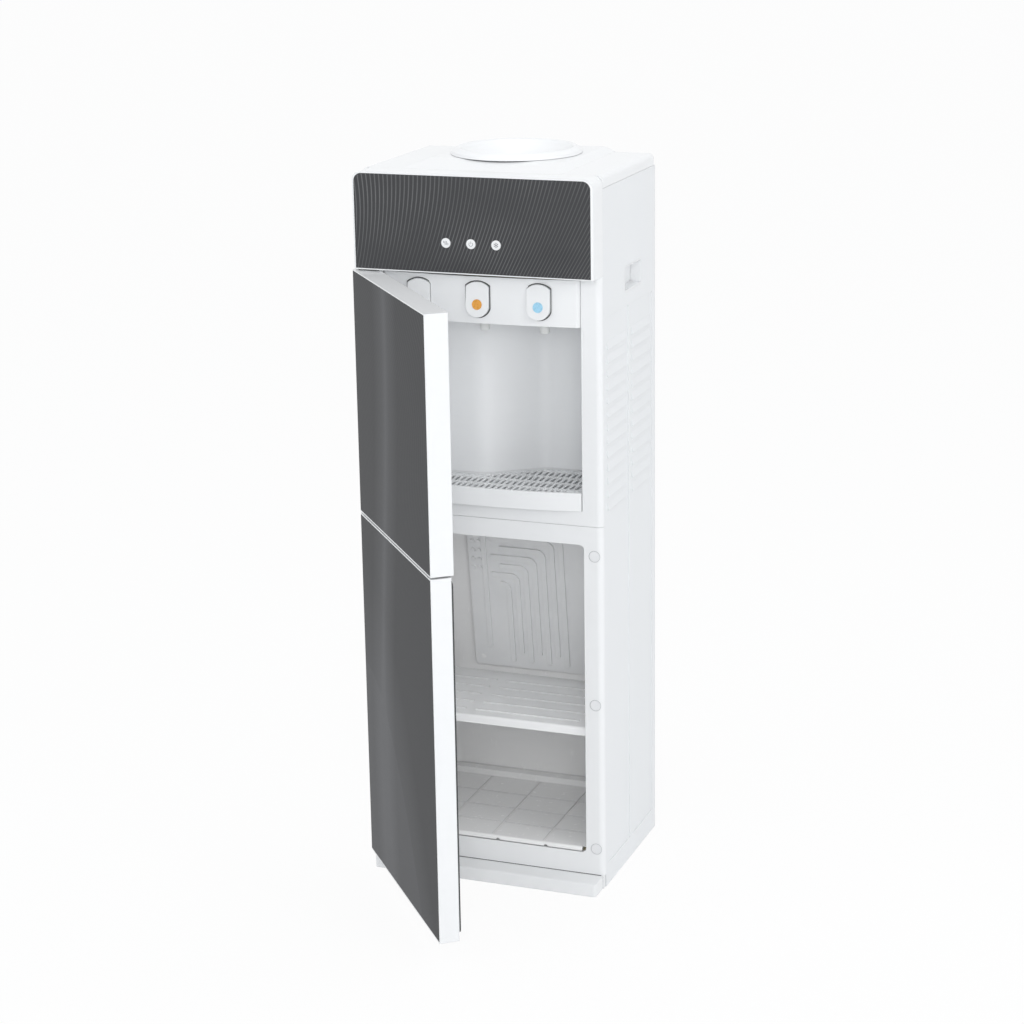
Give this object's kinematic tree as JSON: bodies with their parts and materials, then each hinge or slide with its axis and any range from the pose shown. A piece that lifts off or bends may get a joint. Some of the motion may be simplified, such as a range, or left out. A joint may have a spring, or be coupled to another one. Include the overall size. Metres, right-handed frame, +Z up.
{
  "type": "water dispenser",
  "caption": "Tall white water dispenser: dark glass control panel, three push taps in a bay, and a small refrigerated cabinet, both doors half open.",
  "frame": {"origin": "on the floor under the middle of the side panels' footprint", "axes": "+Z up, -Y towards the user, +X to the user's right"},
  "size_m": [0.336, 0.5367, 0.99],
  "materials": {
    "white_moulding": "Injection-moulded white, soft gloss.",
    "cap_plastic": "White press-in cap.",
    "white_steel": "White baked paint on sheet steel.",
    "zinc_steel": "Bright zinc-plated sheet steel.",
    "black_steel": "Black satin paint.",
    "tank_steel": "Plain stainless sheet.",
    "liner_plastic": "Vacuum-formed white sheet.",
    "shelf_plastic": "White moulded shelf.",
    "plate_aluminium": "Roll-bonded sheet, pale coat.",
    "valve_plastic": "Natural white moulding.",
    "grille_plastic": "White moulded grille.",
    "foam": "Rigid insulating foam.",
    "dark_glass": "Toughened glass, dark grey print behind, fine hairlines.",
    "seal_rubber": "Soft magnetic seal.",
    "light_plastic": "Clear-white light guide.",
    "board": "Laminate circuit board.",
    "black_plastic": "Black moulding.",
    "red_rocker": "Red rocker.",
    "green_rocker": "Green rocker.",
    "red_mark": "Red-pink disc.",
    "amber_mark": "Amber disc.",
    "blue_mark": "Pale blue disc."
  },
  "bodies": {
    "cabinet": {"base_moulding": "white_moulding", "lower_front_frame": "white_moulding", "upper_front_frame": "white_moulding", "screw_cap_lower": "cap_plastic", "screw_cap_middle": "cap_plastic", "screw_cap_upper": "cap_plastic", "hinge_bottom": "zinc_steel", "hinge_middle": "zinc_steel", "hinge_top": "zinc_steel", "compartment_liner": "liner_plastic", "cabinet_foam": "foam", "cooling_plate": "plate_aluminium", "bay_liner": "white_moulding", "tap_panel": "white_moulding", "tap_body_left": "valve_plastic", "tap_body_middle": "valve_plastic", "tap_body_right": "valve_plastic", "control_housing": "white_moulding", "control_glass": "dark_glass", "indicator_lenses": "light_plastic", "control_board": "board", "top_cover": "white_moulding", "side_panel_right": "white_steel", "side_panel_left": "white_steel", "grip_right": "white_moulding", "grip_left": "white_moulding", "back_pan": "white_steel", "rear_cover": "white_steel", "switch_bezel": "black_plastic", "mains_gland": "black_plastic", "drain_spout": "valve_plastic", "mid_shelf": "zinc_steel", "compressor": "black_steel", "hot_tank": "tank_steel", "hot_jacket": "foam", "tank_shelf": "zinc_steel", "cold_tank": "tank_steel", "cold_jacket": "foam", "condenser": "black_steel"},
    "upper_door": {"upper_door_frame": "white_moulding", "upper_door_glass": "dark_glass", "upper_door_inner": "white_moulding"},
    "lower_door": {"lower_door_frame": "white_moulding", "lower_door_glass": "dark_glass", "lower_door_foam": "foam", "lower_door_lining": "liner_plastic", "lower_door_gasket": "seal_rubber"},
    "button_left": {"tap_button_left": "white_moulding", "tap_mark_left": "red_mark"},
    "button_middle": {"tap_button_middle": "white_moulding", "tap_mark_middle": "amber_mark"},
    "button_right": {"tap_button_right": "white_moulding", "tap_mark_right": "blue_mark"},
    "tray": {"drip_tray": "white_moulding"},
    "grille": {"drip_grille": "grille_plastic"},
    "shelf": {"compartment_shelf": "shelf_plastic"},
    "collar": {"bottle_collar": "white_moulding"},
    "rocker_a": {"rocker_left": "red_rocker"},
    "rocker_b": {"rocker_right": "green_rocker"},
    "spout_cap": {"drain_cap": "valve_plastic"}
  },
  "joints": [
    {"name": "upper_door_hinge", "type": "hinge", "parent": "cabinet", "child": "upper_door", "pos_m": [-0.1581, -0.1338, 0.6794], "axis": [0, 0, -1], "range_deg": [-50.93, 54]},
    {"name": "lower_door_hinge", "type": "hinge", "parent": "cabinet", "child": "lower_door", "pos_m": [-0.1581, -0.1338, 0.2673], "axis": [0, 0, -1], "range_deg": [-50.93, 54]},
    {"name": "tap_push_left", "type": "slide", "parent": "cabinet", "child": "button_left", "axis": [0, 1, 0], "range_m": [0, 0.005], "stiffness_N_per_m": 1200, "springref_m": -0.002},
    {"name": "tap_push_middle", "type": "slide", "parent": "cabinet", "child": "button_middle", "axis": [0, 1, 0], "range_m": [0, 0.005], "stiffness_N_per_m": 1200, "springref_m": -0.002},
    {"name": "tap_push_right", "type": "slide", "parent": "cabinet", "child": "button_right", "axis": [0, 1, 0], "range_m": [0, 0.005], "stiffness_N_per_m": 1200, "springref_m": -0.002},
    {"name": "tray_lift", "type": "slide", "parent": "cabinet", "child": "tray", "axis": [0, 0, 1], "range_m": [0, 0.04]},
    {"name": "grille_lift", "type": "slide", "parent": "tray", "child": "grille", "axis": [0, 0, 1], "range_m": [0, 0.02]},
    {"name": "shelf_lift", "type": "slide", "parent": "cabinet", "child": "shelf", "axis": [0, 0, 1], "range_m": [0, 0.015]},
    {"name": "collar_lift", "type": "slide", "parent": "cabinet", "child": "collar", "axis": [0, 0, 1], "range_m": [0, 0.04]},
    {"name": "rocker_left_tip", "type": "hinge", "parent": "cabinet", "child": "rocker_a", "pos_m": [-0.121, 0.1127, 0.86], "axis": [1, 0, 0], "range_deg": [-16, 0]},
    {"name": "rocker_right_tip", "type": "hinge", "parent": "cabinet", "child": "rocker_b", "pos_m": [-0.099, 0.1127, 0.86], "axis": [1, 0, 0], "range_deg": [-16, 0]},
    {"name": "drain_cap_pull", "type": "slide", "parent": "cabinet", "child": "spout_cap", "axis": [0, 1, 0], "range_m": [0, 0.02]}
  ]
}
